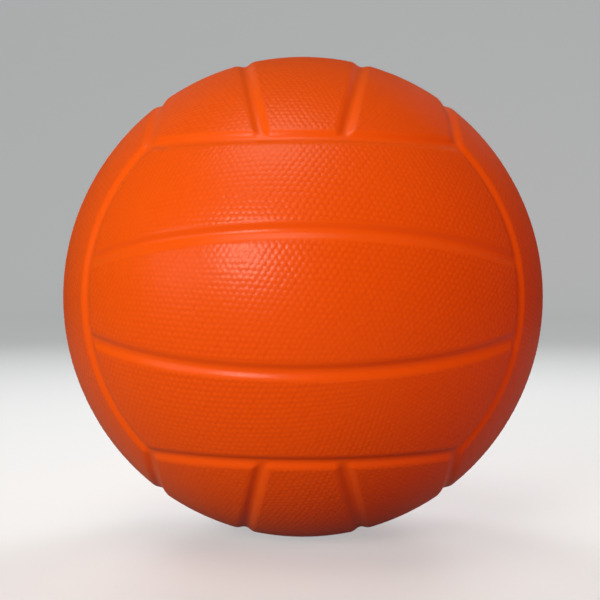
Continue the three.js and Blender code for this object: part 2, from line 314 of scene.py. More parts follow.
# %% Pebbles, step 1: name what can be changed
skin_tree = new_geometry_tree(
    "Pebbled Skin",
    (
        ("Geometry", "Geometry"),
        ("Ball Radius", "Float"),
        ("Ball Centre", "Vector"),
        ("Dome Divisions", "Int"),
        ("Pebble Radius", "Float"),
        ("Pebble Height", "Float"),
        ("Irregularity", "Float"),
        ("Smooth Margin", "Float"),
        ("Fade", "Float"),
        ("Rest Height", "Float"),
        ("Seed", "Int"),
        ("Skin Material", "Material"),
    ),
)
given = add_node(skin_tree, "NodeGroupInput").outputs
print("inputs of the skin:", [socket.name for socket in given if socket.name])

# %% [markdown]
# The dome's own poles lie on the ball's top and bottom, so it is turned until its rows run level
# across the front. Then every point is moved a little at random, because rows without a fault look
# printed, and is put back on the ball.

# %% Pebbles, step 2: put a point on the ball for each pebble
DOME_DIVISIONS = 6
ROWS_LEVEL_IN_FRONT = (0.0, math.radians(90), math.radians(-11))

geodesic = add_node(
    skin_tree,
    "GeometryNodeMeshIcoSphere",
    {"Radius": given["Ball Radius"], "Subdivisions": given["Dome Divisions"]},
)
at_corners = add_node(skin_tree, "GeometryNodeMeshToPoints", [geodesic], mode="VERTICES")
at_middles = add_node(skin_tree, "GeometryNodeMeshToPoints", [geodesic], mode="FACES")
even = add_node(skin_tree, "GeometryNodeJoinGeometry", [[at_corners, at_middles]])
position = add_node(skin_tree, "GeometryNodeInputPosition")
turned_point = add_node(
    skin_tree,
    "ShaderNodeVectorRotate",
    {"Vector": position, "Rotation": ROWS_LEVEL_IN_FRONT},
    rotation_type="EULER_XYZ",
)
jitter = add_node(
    skin_tree,
    "FunctionNodeRandomValue",
    {"Min": (-1, -1, -1), "Max": (1, 1, 1), "Seed": given["Seed"]},
    data_type="FLOAT_VECTOR",
)
shifted = add_node(
    skin_tree,
    "ShaderNodeVectorMath",
    {"Vector": jitter, "Scale": given["Irregularity"]},
    operation="SCALE",
)
uneven = add_node(skin_tree, "ShaderNodeVectorMath", [turned_point, shifted], operation="ADD")
towards = add_node(skin_tree, "ShaderNodeVectorMath", [uneven], operation="NORMALIZE")
on_ball = add_node(
    skin_tree,
    "ShaderNodeVectorMath",
    {"Vector": towards, "Scale": given["Ball Radius"]},
    operation="SCALE",
)
crowns = add_node(
    skin_tree, "GeometryNodeSetPosition", {"Geometry": even, "Position": on_ball}
)
print(DOME_DIVISIONS, "divisions give", 30 * 4 ** (DOME_DIVISIONS - 1) + 2, "pebbles")

# %% [markdown]
# A pebble is level on top and steep at its side. So its height falls with a power of the distance
# from its middle, slowly at first. Each has a height of its own, from 0.8 to 1 of the full one.

# %% Pebbles, step 3: raise a dome round each point
DOME_POWER = 2.6
LOWEST_PEBBLE = 0.8

from_centre = add_node(
    skin_tree, "ShaderNodeVectorMath", [position, given["Ball Centre"]], operation="SUBTRACT"
)
outwards = add_node(skin_tree, "ShaderNodeVectorMath", [from_centre], operation="NORMALIZE")
here = add_node(
    skin_tree,
    "ShaderNodeVectorMath",
    {"Vector": outwards, "Scale": given["Ball Radius"]},
    operation="SCALE",
)
nearest = add_node(
    skin_tree, "GeometryNodeSampleNearest", {"Geometry": crowns, "Sample Position": here}
)
crown = add_node(
    skin_tree,
    "GeometryNodeSampleIndex",
    {"Geometry": crowns, "Value": position, "Index": nearest},
    data_type="FLOAT_VECTOR",
)
from_crown = add_node(skin_tree, "ShaderNodeVectorMath", [here, crown], operation="DISTANCE")
share_out = add_node(
    skin_tree,
    "ShaderNodeMath",
    [from_crown.outputs["Value"], given["Pebble Radius"]],
    operation="DIVIDE",
    use_clamp=True,
)
fall = add_node(skin_tree, "ShaderNodeMath", [share_out, DOME_POWER], operation="POWER")
dome = add_node(skin_tree, "ShaderNodeMath", [1.0, fall], operation="SUBTRACT")
own_height = add_node(
    skin_tree,
    "FunctionNodeRandomValue",
    {"Min": LOWEST_PEBBLE, "Max": 1.0, "ID": nearest, "Seed": given["Seed"]},
    data_type="FLOAT",
)
uneven_dome = add_node(skin_tree, "ShaderNodeMath", [dome, own_height], operation="MULTIPLY")
print("a dome is 1 at its crown and 0 at its radius")

# %% [markdown]
# The mould is smooth along the seams and round the valve. Every point of a panel carries its
# distance to the seam, which fades the pebbles in. How far a point lies between the pebbles is
# stored for the material, which paints shade there. Whatever would lie below the floor is pressed
# up level with it.

# %% Pebbles, step 4: keep the seams and the valve smooth, and press the rest flat
smooth_distance = add_node(
    skin_tree, "GeometryNodeInputNamedAttribute", {"Name": "seam_distance"}, data_type="FLOAT"
)
pebbles_begin = add_node(
    skin_tree, "ShaderNodeMath", [given["Smooth Margin"], given["Fade"]], operation="ADD"
)
mask = add_node(
    skin_tree,
    "ShaderNodeMapRange",
    {"Value": smooth_distance, "From Min": given["Smooth Margin"], "From Max": pebbles_begin},
    interpolation_type="SMOOTHSTEP",
)
pebble = add_node(skin_tree, "ShaderNodeMath", [uneven_dome, mask], operation="MULTIPLY")
raised = add_node(
    skin_tree, "ShaderNodeMath", [pebble, given["Pebble Height"]], operation="MULTIPLY"
)
lift = add_node(
    skin_tree, "ShaderNodeVectorMath", {"Vector": outwards, "Scale": raised}, operation="SCALE"
)
lifted = add_node(skin_tree, "ShaderNodeVectorMath", [position, lift], operation="ADD")
parts = add_node(skin_tree, "ShaderNodeSeparateXYZ", [lifted]).outputs
above_rest = add_node(
    skin_tree, "ShaderNodeMath", [parts["Z"], given["Rest Height"]], operation="MAXIMUM"
)
pressed = add_node(skin_tree, "ShaderNodeCombineXYZ", [parts["X"], parts["Y"], above_rest])
shaped = add_node(
    skin_tree, "GeometryNodeSetPosition", {"Geometry": given["Geometry"], "Position": pressed}
)
# Painted shade: how far a point lies down between the pebbles, kept so that the material can darken
# the hollows.
valley = add_node(
    skin_tree, "ShaderNodeMath", [mask.outputs["Result"], pebble], operation="SUBTRACT"
)
remembered = add_node(
    skin_tree,
    "GeometryNodeStoreNamedAttribute",
    {"Geometry": shaped, "Name": "valley", "Value": valley},
    data_type="FLOAT",
    domain="POINT",
)
smoothed = add_node(skin_tree, "GeometryNodeSetShadeSmooth", [remembered])
realized = add_node(skin_tree, "GeometryNodeRealizeInstances", [smoothed])
dressed = add_node(
    skin_tree,
    "GeometryNodeSetMaterial",
    {"Geometry": realized, "Material": given["Skin Material"]},
)
add_node(skin_tree, "NodeGroupOutput", [dressed])
print(f"pebbled skin: {len(skin_tree.nodes)} nodes")

# %% [markdown]
# ## The skin's material
# The cover is foam rubber, coloured right through and cured against the mould. The mould leaves it
# satin, so it has soft pale highlights on the crowns of the pebbles and on the lips of the seams. A
# single flat colour looks like plastic, so there are two small things more. A very fine grain
# breaks up the highlights, and between the pebbles the colour is painted a shade deeper, as painted
# shade in the hollows. That painted shade follows an attribute which the pebbles' tree leaves on
# the skin.

# %% Cured foam rubber
SKIN_CROWN = "#E45C0A"
# The valley colour is painted shade: a darker orange where the skin lies between the pebbles.
SKIN_VALLEY_PAINTED_SHADE = "#D85208"
SKIN_ROUGHNESS = 0.3
SKIN_SPECULAR = 0.28
RUBBER_IOR = 1.52
GRAIN_DETAIL = 3.0


def new_material(name):
    """An empty material with a Principled shader and its output."""
    material = bpy.data.materials.new(name)
    material.use_nodes = True
    tree = material.node_tree
    tree.nodes.clear()
    shader = add_node(tree, "ShaderNodeBsdfPrincipled", {"IOR": RUBBER_IOR})
    add_node(tree, "ShaderNodeOutputMaterial", [shader])
    return material, tree, shader


def add_grain(tree, shader, size, depth):
    """A fine unevenness of a real size and depth, in metres, as a bump."""
    place = add_node(tree, "ShaderNodeTexCoord").outputs["Object"]
    noise = add_node(
        tree, "ShaderNodeTexNoise", {"Vector": place, "Scale": 1 / size, "Detail": GRAIN_DETAIL}
    )
    bump = add_node(
        tree, "ShaderNodeBump", {"Height": noise, "Distance": depth, "Strength": 1.0}
    )
    tree.links.new(bump.outputs["Normal"], shader.inputs["Normal"])


foam_rubber, foam_tree, foam = new_material("foam_rubber_cured_in_mould")
# Painted shade: the skin's orange darkens towards the valley colour between the pebbles.
painted_shade_between_pebbles = add_node(foam_tree, "ShaderNodeAttribute", attribute_name="valley")
skin_colour_with_painted_shade = add_node(
    foam_tree,
    "ShaderNodeMix",
    {
        "Factor": painted_shade_between_pebbles.outputs["Fac"],
        "A": colour(SKIN_CROWN),
        "B": colour(SKIN_VALLEY_PAINTED_SHADE),
    },
    data_type="RGBA",
)
foam_tree.links.new(skin_colour_with_painted_shade.outputs["Result"], foam.inputs["Base Color"])
foam.inputs["Roughness"].default_value = SKIN_ROUGHNESS
foam.inputs["Specular IOR Level"].default_value = SKIN_SPECULAR
add_grain(foam_tree, foam, size=0.35 * MM, depth=0.012 * MM)
print("material:", foam_rubber.name)

# %% [markdown]
# ## Eighteen panels
# All middle strips are one shape and all outer strips another, so two blanks are enough for the
# ball. Each of its six faces is given by the way out of the ball and the way along its strips.

# %% The six faces, and tools for objects
RIGHT, BACKWARD, UP = Vector((1, 0, 0)), Vector((0, 1, 0)), Vector((0, 0, 1))
FACES = (
    ("front", -BACKWARD, RIGHT, ("lower", "middle", "upper")),
    ("back", BACKWARD, -RIGHT, ("lower", "middle", "upper")),
    ("top", UP, -BACKWARD, ("left", "middle", "right")),
    ("bottom", -UP, BACKWARD, ("left", "middle", "right")),
    ("right", RIGHT, UP, ("rear", "middle", "front")),
    ("left", -RIGHT, -UP, ("rear", "middle", "front")),
)


def set_inputs(modifier, values):
    """Sets a Geometry Nodes modifier's inputs by their names."""
    for item in modifier.node_group.interface.items_tree:
        if item.item_type == "SOCKET" and item.in_out == "INPUT" and item.name in values:
            modifier[item.identifier] = values[item.name]


def add_object(name, mesh):
    """A new object at the origin that holds a mesh."""
    obj = bpy.data.objects.new(name, mesh)
    bpy.context.scene.collection.objects.link(obj)
    return obj


def make_plain(obj):
    """Turns what an object's modifiers make into its own mesh."""
    depsgraph = bpy.context.evaluated_depsgraph_get()
    made = bpy.data.meshes.new_from_object(obj.evaluated_get(depsgraph), depsgraph=depsgraph)
    obj.modifiers.clear()
    obj.data = made
    made.name = obj.name


print("strips:", sum(len(strip_names) for *_, strip_names in FACES))

# %% [markdown]
# The valve lies in a shallow dish, so that it doesn't rub on the floor. A dish that is cut out has
# an edge like a coin's. So the points of the skin are lowered to a level floor with a short sloping
# wall, and only the hole for the neck is cut, after the pebbles are there.

# %% The dish and the hole for the valve
VALVE_DISH_RADIUS = 8.5 * MM
VALVE_DISH_DEPTH = 0.6 * MM
DISH_WALL_OVERLAP = 0.5 * MM
DISH_WALL_WIDTH = 1.2 * MM
SMOOTH_ROUND_DISH = 1.5 * MM
VALVE_HOLE_RADIUS = 4.5 * MM
VALVE_HOLE_SIDES = 96
SMOOTH_MARGIN = 3.3 * MM


def add_valve_dish(mesh):
    """Sinks the skin round the valve to a level floor, and keeps the pebbles off its edge."""
    points = np.empty(len(mesh.vertices) * 3, np.float32)
    mesh.vertices.foreach_get("co", points)
    points = points.reshape(-1, 3)
    seam = np.empty(len(points), np.float32)
    mesh.attributes["seam_distance"].data.foreach_get("value", seam)
    from_axis = np.hypot(points[:, 0] - BALL_CENTRE.x, points[:, 2] - BALL_CENTRE.z)
    wall_begins = VALVE_DISH_RADIUS - DISH_WALL_OVERLAP
    edge = np.clip((from_axis - wall_begins) / DISH_WALL_WIDTH, 0, 1)
    edge = edge * edge * (3 - 2 * edge)
    floor = BALL_RADIUS - VALVE_DISH_DEPTH
    outer = seam >= 0
    points[outer, 1] = floor + (points[outer, 1] - floor) * edge[outer]
    from_dish = from_axis - VALVE_DISH_RADIUS - SMOOTH_ROUND_DISH + SMOOTH_MARGIN
    seam[outer] = np.maximum(np.minimum(seam, from_dish)[outer], 0)
    mesh.vertices.foreach_set("co", points.ravel())
    mesh.attributes["seam_distance"].data.foreach_set("value", seam)


def add_valve_hole(obj):
    """Bores the panel's hole with a cylinder along the valve's axis."""
    bpy.ops.mesh.primitive_cylinder_add(
        vertices=VALVE_HOLE_SIDES,
        radius=VALVE_HOLE_RADIUS,
        depth=BALL_RADIUS / 4,
        rotation=(math.pi / 2, 0, 0),
    )
    cutter = bpy.context.object
    cutter.location = BALL_CENTRE + BACKWARD * BALL_RADIUS
    bore = obj.modifiers.new("valve hole", "BOOLEAN")
    bore.object = cutter
    bore.operation = "DIFFERENCE"
    bore.solver = "MANIFOLD"
    make_plain(obj)
    bpy.data.objects.remove(cutter)


print(f"valve: a dish {2 * VALVE_DISH_RADIUS / MM:.0f} mm across, {VALVE_DISH_DEPTH / MM} mm deep")

# %% [markdown]
# Now the blanks are placed eighteen times, some of them turned half round. The pebbles come after
# that, because their rows run on over the whole ball. Two of the middle strips are special. The one
# at the back has the valve. The one at the bottom is pressed flat where the ball stands, as a soft
# ball is.

# %% Place the panels and pebble them
PEBBLE_RADIUS = 1.4 * MM
PEBBLE_WANDER = 0.16 * MM
PEBBLE_FADE = 0.8 * MM
PANEL_SHARP_ANGLE = math.radians(50)


def add_panel(node, blank, out, along, other_side):
    """A pebbled panel in its place, from a blank, which can be turned to the face's other side."""
    turn = Matrix((out, along, out.cross(along))).transposed()
    if other_side:
        turn = turn @ Matrix.Rotation(math.pi, 3, "X")
    mesh = blank.copy()
    mesh.transform(Matrix.Translation(BALL_CENTRE) @ turn.to_4x4())
    if node == "back_panel_middle":
        add_valve_dish(mesh)
    mesh.set_sharp_from_angle(angle=PANEL_SHARP_ANGLE)
    panel = add_object(f"{node}_pebbled", mesh)
    skin = panel.modifiers.new("skin", "NODES")
    skin.node_group = skin_tree
    set_inputs(
        skin,
        {
            "Ball Radius": BALL_RADIUS,
            "Ball Centre": BALL_CENTRE,
            "Dome Divisions": DOME_DIVISIONS,
            "Pebble Radius": PEBBLE_RADIUS,
            "Pebble Height": PEBBLE_HEIGHT,
            "Irregularity": PEBBLE_WANDER,
            "Smooth Margin": SMOOTH_MARGIN,
            "Fade": PEBBLE_FADE,
            "Rest Height": 0.0,
            "Seed": 7,
            "Skin Material": foam_rubber,
        },
    )
    make_plain(panel)
    if node == "back_panel_middle":
        add_valve_hole(panel)
    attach(panel, "ball")
    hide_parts(node)
    return panel


panels = []
for face_name, out, along, strip_names in FACES:
    for k, strip_name in enumerate(strip_names):
        blank = blanks["middle" if k == 1 else "outer"]
        panels.append(add_panel(f"{face_name}_panel_{strip_name}", blank, out, along, k == 0))
print(f"{len(panels)} panels, {sum(len(p.data.polygons) for p in panels)} faces")

# %% [markdown]
# ## The valve
# The valve is two pieces of black rubber. The seat is a neck with a flange, moulded in one and
# bonded to the bladder. The core is a plug that is pushed into it, with a small funnel that leads
# the pump's needle. All of it is round, so each piece is a profile turned about the axis. Rubber
# comes out of a mould with no sharp edges, so each corner of a profile has a radius of its own.

# %% A tool that turns a profile
ROUNDING_STEPS = 6
ON_AXIS = 1e-9
TURNED_SHARP_ANGLE = math.radians(40)


def rounded(profile):
    """Points of a closed profile whose corners are rounded. Each corner is (radius, height,
    rounding), and one without rounding stays sharp."""
    corners = [Vector(corner[:2]) for corner in profile]
    points = []
    for k, (radius, height, rounding) in enumerate(profile):
        corner = corners[k]
        before = (corners[k - 1] - corner).normalized()
        after = (corners[(k + 1) % len(corners)] - corner).normalized()
        if rounding == 0:
            points.append(corner)
            continue
        half = before.angle(after) / 2
        back_off = rounding / math.tan(half)
        centre = corner + (before + after).normalized() * rounding / math.sin(half)
        first, last = corner + before * back_off - centre, corner + after * back_off - centre
        sweep = first.angle(last)
        for step in range(ROUNDING_STEPS + 1):
            share = step / ROUNDING_STEPS
            weights = math.sin((1 - share) * sweep), math.sin(share * sweep)
            points.append(centre + (first * weights[0] + last * weights[1]) / math.sin(sweep))
    return points


def turned(name, profile, segments=96):
    """A closed mesh turned about the ball's +Y axis. Heights are measured from its centre."""
    bm = bmesh.new()
    angles = [2 * math.pi * k / segments for k in range(segments)]
    rings = []
    for radius, height in profile:
        if radius < ON_AXIS:
            rings.append([bm.verts.new((0, height, 0))])
            continue
        places = [(radius * math.sin(a), height, radius * math.cos(a)) for a in angles]
        rings.append([bm.verts.new(place) for place in places])
    for ring, following in zip(rings, rings[1:] + rings[:1]):
        for k in range(segments):
            after = (k + 1) % segments
            corners = [ring[k % len(ring)], ring[after % len(ring)]]
            corners += [following[after % len(following)], following[k % len(following)]]
            corners = list(dict.fromkeys(corners))
            if len(corners) > 2:
                bm.faces.new(corners)
    bmesh.ops.translate(bm, verts=bm.verts, vec=BALL_CENTRE)
    bmesh.ops.recalc_face_normals(bm, faces=bm.faces)
    for face in bm.faces:
        face.smooth = True
    mesh = bpy.data.meshes.new(name)
    bm.to_mesh(mesh)
    bm.free()
    mesh.set_sharp_from_angle(angle=TURNED_SHARP_ANGLE)
    return mesh


def finish_piece(obj, node, body, material):
    """Gives a finished piece its material, and tells the frame what it stands for."""
    obj.data.materials.clear()
    obj.data.materials.append(material)
    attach(obj, body)
    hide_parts(node)


sample = rounded([(1, 0, 0), (1, 1, 0.3), (0, 1, 0)])
print("a rounded corner between two sharp ones makes", len(sample), "points")

# %% [markdown]
# The seat shows only as a black ring in the middle of its dish. Its flange lies inside the bladder,
# curved like it, and is thickest at the neck. A tapered boss carries the bore on inwards.

# %% The seat's profile
VALVE_TOP = BALL_RADIUS - VALVE_DISH_DEPTH
MOUTH_RADIUS = 2.9 * MM
MOUTH_FLOOR = VALVE_TOP - 1.2 * MM
NECK_RADIUS = 4.2 * MM
BORE_RADIUS = 2.4 * MM
FLANGE_RADIUS = 16.0 * MM
FLANGE_RIM = 0.6 * MM
FLANGE_TOP = 98.0 * MM
FLANGE_BOTTOM = 96.4 * MM
BOSS_END = FLANGE_BOTTOM - 12.0 * MM
BOSS_RADIUS_AT_END = 3.6 * MM
BOSS_RADIUS_AT_FLANGE = 4.6 * MM


def flange_height(radius):
    """The height of the flange's top, which lies on a sphere about the ball's centre."""
    return math.sqrt(FLANGE_TOP**2 - radius**2)


flange_radii = np.linspace(FLANGE_RADIUS - 0.1 * MM, NECK_RADIUS + 0.4 * MM, 9)
rim_height = flange_height(FLANGE_RADIUS)
seat_profile = [
    (BORE_RADIUS, BOSS_END, 0.3 * MM),
    (BOSS_RADIUS_AT_END, BOSS_END, 0.5 * MM),
    (BOSS_RADIUS_AT_FLANGE, FLANGE_BOTTOM, 1.2 * MM),
    (FLANGE_RADIUS, rim_height - FLANGE_RIM, 0.2 * MM),
    (FLANGE_RADIUS, rim_height - 0.05 * MM, 0.05 * MM),
    *[(float(radius), flange_height(radius), 0) for radius in flange_radii],
    (NECK_RADIUS, flange_height(NECK_RADIUS), 0.25 * MM),
    (NECK_RADIUS, VALVE_TOP, 0.25 * MM),
    (MOUTH_RADIUS, VALVE_TOP, 0.2 * MM),
    (MOUTH_RADIUS, MOUTH_FLOOR, 0),
    (BORE_RADIUS, MOUTH_FLOOR, 0),
]
print("corners of the seat:", len(seat_profile))

# %% [markdown]
# The core is a plug with a head. The funnel in its head leads the needle to a narrow hole, which
# ends half way down. There the needle pierces the rubber, and the rubber closes again behind it.

# %% The core's profile
CORE_CLEARANCE = 0.2 * MM
HEAD_RADIUS = MOUTH_RADIUS - CORE_CLEARANCE
HEAD_BOTTOM = MOUTH_FLOOR + CORE_CLEARANCE
SHANK_RADIUS = BORE_RADIUS - CORE_CLEARANCE
CORE_TIP = VALVE_TOP - 18.0 * MM
TIP_RADIUS = 1.2 * MM
TIP_LENGTH = 2.0 * MM
FUNNEL_RADIUS = 1.3 * MM
FUNNEL_DEPTH = 2.4 * MM
NEEDLE_HOLE_RADIUS = 0.5 * MM
NEEDLE_HOLE_END = VALVE_TOP - 9.0 * MM

core_profile = [
    (0, CORE_TIP, 0),
    (TIP_RADIUS, CORE_TIP, 0.4 * MM),
    (SHANK_RADIUS, CORE_TIP + TIP_LENGTH, 0.6 * MM),
    (SHANK_RADIUS, HEAD_BOTTOM, 0.1 * MM),
    (HEAD_RADIUS, HEAD_BOTTOM, 0.15 * MM),
    (HEAD_RADIUS, VALVE_TOP, 0.35 * MM),
    (FUNNEL_RADIUS, VALVE_TOP, 0.35 * MM),
    (NEEDLE_HOLE_RADIUS, VALVE_TOP - FUNNEL_DEPTH, 0.8 * MM),
    (NEEDLE_HOLE_RADIUS, NEEDLE_HOLE_END, 0.15 * MM),
    (0, NEEDLE_HOLE_END, 0),
]
print("corners of the core:", len(core_profile))

# %% [markdown]
# Valve rubber is black from its carbon filler, and dull where it isn't handled. The core is kept
# wet with glycerine to let the needle in, and shines more. So the two share a material's recipe
# and differ in its numbers, as the rubber layers inside do.

# %% Turn the seat and the core
def black_rubber(name, hex_value, roughness, grain):
    """Carbon-black rubber with the slight unevenness of its mould."""
    material, tree, shader = new_material(name)
    shader.inputs["Base Color"].default_value = colour(hex_value)
    shader.inputs["Roughness"].default_value = roughness
    add_grain(tree, shader, size=grain, depth=0.01 * MM)
    return material


valve_rubber = black_rubber("valve_rubber_moulded", "#1C1C1C", 0.5, 0.4 * MM)
core_rubber = black_rubber("core_rubber_glycerine_wet", "#2A2A2A", 0.32, 0.6 * MM)
seat = add_object("valve_seat_turned", turned("valve_seat_turned", rounded(seat_profile)))
core = add_object("valve_core_turned", turned("valve_core_turned", rounded(core_profile)))
finish_piece(seat, "valve_seat", "ball", valve_rubber)
finish_piece(core, "valve_core", "valve_core", core_rubber)
print(f"seat: {len(seat.data.polygons)} faces, core: {len(core.data.polygons)} faces")

# %% [markdown]
# ## The layers inside
# Under the panels is the carcass, a thin shell of black rubber. Under that is the winding, and
# inside it the bladder. None of them shows on the closed ball, but a ball cut open or taken apart
# shows them all, so each is made at its real thickness with the hole that the valve's neck needs.
#
# The rubber layers are plain shells. The winding is thread: turn upon turn along great circles,
# each laid at a new angle, dipped in latex so that it holds. One circle is drawn, and a point for
# each turn carries a copy at an angle of its own, chosen so that every circle passes clear of the
# valve. A shell of latex below them closes the gaps between the turns.

# %% The shells
LAYER_HOLE_RADIUS = 4.5 * MM
CARCASS_RADII = (100.7 * MM, 100.1 * MM)
LATEX_RADII = (99.55 * MM, 99.3 * MM)
BLADDER_RADII = (99.0 * MM, 98.3 * MM)
SHELL_STEPS = 64
SHELL_SEGMENTS = 128


def shell_profile(outer, inner):
    """The profile of a round shell with a hole for the valve's neck."""

    def arc(radius):
        angles = np.linspace(math.asin(LAYER_HOLE_RADIUS / radius), math.pi, SHELL_STEPS)
        points = [(radius * math.sin(a), radius * math.cos(a)) for a in angles[:-1]]
        return [*points, (0, -radius)]

    return [*reversed(arc(outer)), *arc(inner)]


def add_shell(name, outer, inner):
    """A shell of the ball between two radii."""
    return add_object(name, turned(name, shell_profile(outer, inner), SHELL_SEGMENTS))


carcass_rubber = black_rubber("carcass_rubber_calendered", "#353331", 0.75, 1.2 * MM)
butyl_rubber = black_rubber("butyl_rubber_blown", "#1B1B1D", 0.42, 2.5 * MM)
carcass = add_shell("carcass_shell", *CARCASS_RADII)
bladder = add_shell("bladder_shell", *BLADDER_RADII)
finish_piece(carcass, "rubber_carcass", "ball", carcass_rubber)
finish_piece(bladder, "bladder", "ball", butyl_rubber)
print(f"carcass: {len(carcass.data.polygons)} faces, bladder: {len(bladder.data.polygons)} faces")

# %% [markdown]
# The thread could be drawn as one long curve, but a tree of Geometry Nodes needs only a few
# numbers, and they can be changed afterwards. Its inputs come first.

# %% The winding, step 1: a tree that lays the thread
thread_tree = new_geometry_tree(
    "Wound Thread",
    (
        ("Shell", "Geometry"),
        ("Ball Centre", "Vector"),
        ("Winding Radius", "Float"),
        ("Thread Radius", "Float"),
        ("Turns", "Int"),
        ("Clearance", "Float"),
        ("Seed", "Int"),
        ("Thread Material", "Material"),
    ),
)
wound = add_node(thread_tree, "NodeGroupInput").outputs
print("inputs of the winding:", [socket.name for socket in wound if socket.name])

# %% [markdown]
# A great circle is given by its axis. How much the axis leans to the valve's side is drawn first,
# and never so little that the circle would cross the neck. Its bearing round the valve comes next.

# %% The winding, step 2: an axis of its own for each turn
turns = add_node(
    thread_tree,
    "GeometryNodePoints",
    {"Count": wound["Turns"], "Position": wound["Ball Centre"]},
)
least_tilt = add_node(
    thread_tree,
    "ShaderNodeMath",
    [wound["Clearance"], wound["Winding Radius"]],
    operation="DIVIDE",
)
tilt_share = add_node(
    thread_tree,
    "FunctionNodeRandomValue",
    {"Min": least_tilt, "Max": 1.0, "Seed": wound["Seed"]},
    data_type="FLOAT",
)
other_seed = add_node(thread_tree, "ShaderNodeMath", [wound["Seed"], 1.0], operation="ADD")
bearing = add_node(
    thread_tree,
    "FunctionNodeRandomValue",
    {"Min": 0.0, "Max": 2 * math.pi, "Seed": other_seed},
    data_type="FLOAT",
)
squared = add_node(thread_tree, "ShaderNodeMath", [tilt_share, 2.0], operation="POWER")
rest_of_one = add_node(thread_tree, "ShaderNodeMath", [1.0, squared], operation="SUBTRACT")
sideways = add_node(thread_tree, "ShaderNodeMath", [rest_of_one], operation="SQRT")
cosine = add_node(thread_tree, "ShaderNodeMath", [bearing], operation="COSINE")
sine = add_node(thread_tree, "ShaderNodeMath", [bearing], operation="SINE")
axis_x = add_node(thread_tree, "ShaderNodeMath", [sideways, cosine], operation="MULTIPLY")
axis_z = add_node(thread_tree, "ShaderNodeMath", [sideways, sine], operation="MULTIPLY")
circle_axis = add_node(thread_tree, "ShaderNodeCombineXYZ", [axis_x, tilt_share, axis_z])
facing = add_node(
    thread_tree, "FunctionNodeAlignRotationToVector", {"Vector": circle_axis}, axis="Z"
)
print(f"thread: {len(thread_tree.nodes)} nodes up to the axis of a turn")

# %% [markdown]
# Each point carries the same circle, and a small square section is swept along all of them at
# once. The shell of latex joins them, and together they are one piece.

# %% The winding, step 3: lay a circle of thread square to each axis
CIRCLE_STEPS = 120
THREAD_SIDES = 4

circle = add_node(
    thread_tree,
    "GeometryNodeCurvePrimitiveCircle",
    {"Resolution": CIRCLE_STEPS, "Radius": wound["Winding Radius"]},
)
laid = add_node(
    thread_tree,
    "GeometryNodeInstanceOnPoints",
    {"Points": turns, "Instance": circle, "Rotation": facing},
)
all_turns = add_node(thread_tree, "GeometryNodeRealizeInstances", [laid])
section = add_node(
    thread_tree,
    "GeometryNodeCurvePrimitiveCircle",
    {"Resolution": THREAD_SIDES, "Radius": wound["Thread Radius"]},
)
thread = add_node(
    thread_tree, "GeometryNodeCurveToMesh", {"Curve": all_turns, "Profile Curve": section}
)
with_shell = add_node(thread_tree, "GeometryNodeJoinGeometry", [[wound["Shell"], thread]])
smooth_thread = add_node(thread_tree, "GeometryNodeSetShadeSmooth", [with_shell])
whole = add_node(thread_tree, "GeometryNodeRealizeInstances", [smooth_thread])
coloured = add_node(
    thread_tree,
    "GeometryNodeSetMaterial",
    {"Geometry": whole, "Material": wound["Thread Material"]},
)
add_node(thread_tree, "NodeGroupOutput", [coloured])
print(f"wound thread: {len(thread_tree.nodes)} nodes")

# %% [markdown]
# The nylon is off-white and a little yellowed by its latex. Its fibres scatter the light at the
# edges, which the sheen stands for.

# %% The winding, step 4: wind it
WINDING_RADIUS = 99.6 * MM
THREAD_RADIUS = 0.2 * MM
TURNS = 150
CLEAR_OF_NECK = 6.5 * MM

nylon, nylon_tree, nylon_shader = new_material("nylon_thread_latex_dipped")
nylon_shader.inputs["Base Color"].default_value = colour("#E6DFCE")
nylon_shader.inputs["Roughness"].default_value = 0.6
nylon_shader.inputs["Sheen Weight"].default_value = 0.2
add_grain(nylon_tree, nylon_shader, size=0.3 * MM, depth=0.03 * MM)
winding = add_shell("thread_winding_wound", *LATEX_RADII)
winder = winding.modifiers.new("winding", "NODES")
winder.node_group = thread_tree
set_inputs(
    winder,
    {
        "Ball Centre": BALL_CENTRE,
        "Winding Radius": WINDING_RADIUS,
        "Thread Radius": THREAD_RADIUS,
        "Turns": TURNS,
        "Clearance": CLEAR_OF_NECK,
        "Seed": 3,
        "Thread Material": nylon,
    },
)
make_plain(winding)
finish_piece(winding, "thread_winding", "ball", nylon)
print(f"winding: {len(winding.data.polygons)} faces")

# %% [markdown]
# ## Floor and light
# The ball stands on a plain pale floor that curves up into a backdrop. It is turned about the ball
# like a shallow bowl, so the ball can be seen from every side with nothing else in the picture.
#
# To the camera the floor is pale. To the rays that carry light it is dark and warm, so that the
# underside of the ball stays deep in colour and its edges don't shine. Highlights show a little of
# the pale floor, as satin rubber does.

# %% The floor and the backdrop
FLOOR_RADIUS = 3.0
FLOOR_MIDDLE = 0.5
FLOOR_BEND = 1.0
BEND_STEPS = 16
WALL_HEIGHT = 4.0
BOWL_SEGMENTS = 96
FLOOR_TO_CAMERA = "#B9BDBE"
FLOOR_TO_LIGHT = "#705046"
FLOOR_GLOW = 0.8
STAGE_IN_HIGHLIGHTS = 0.1
WORLD_COLOUR = "#FFC8B6"
WORLD_STRENGTH = 0.1


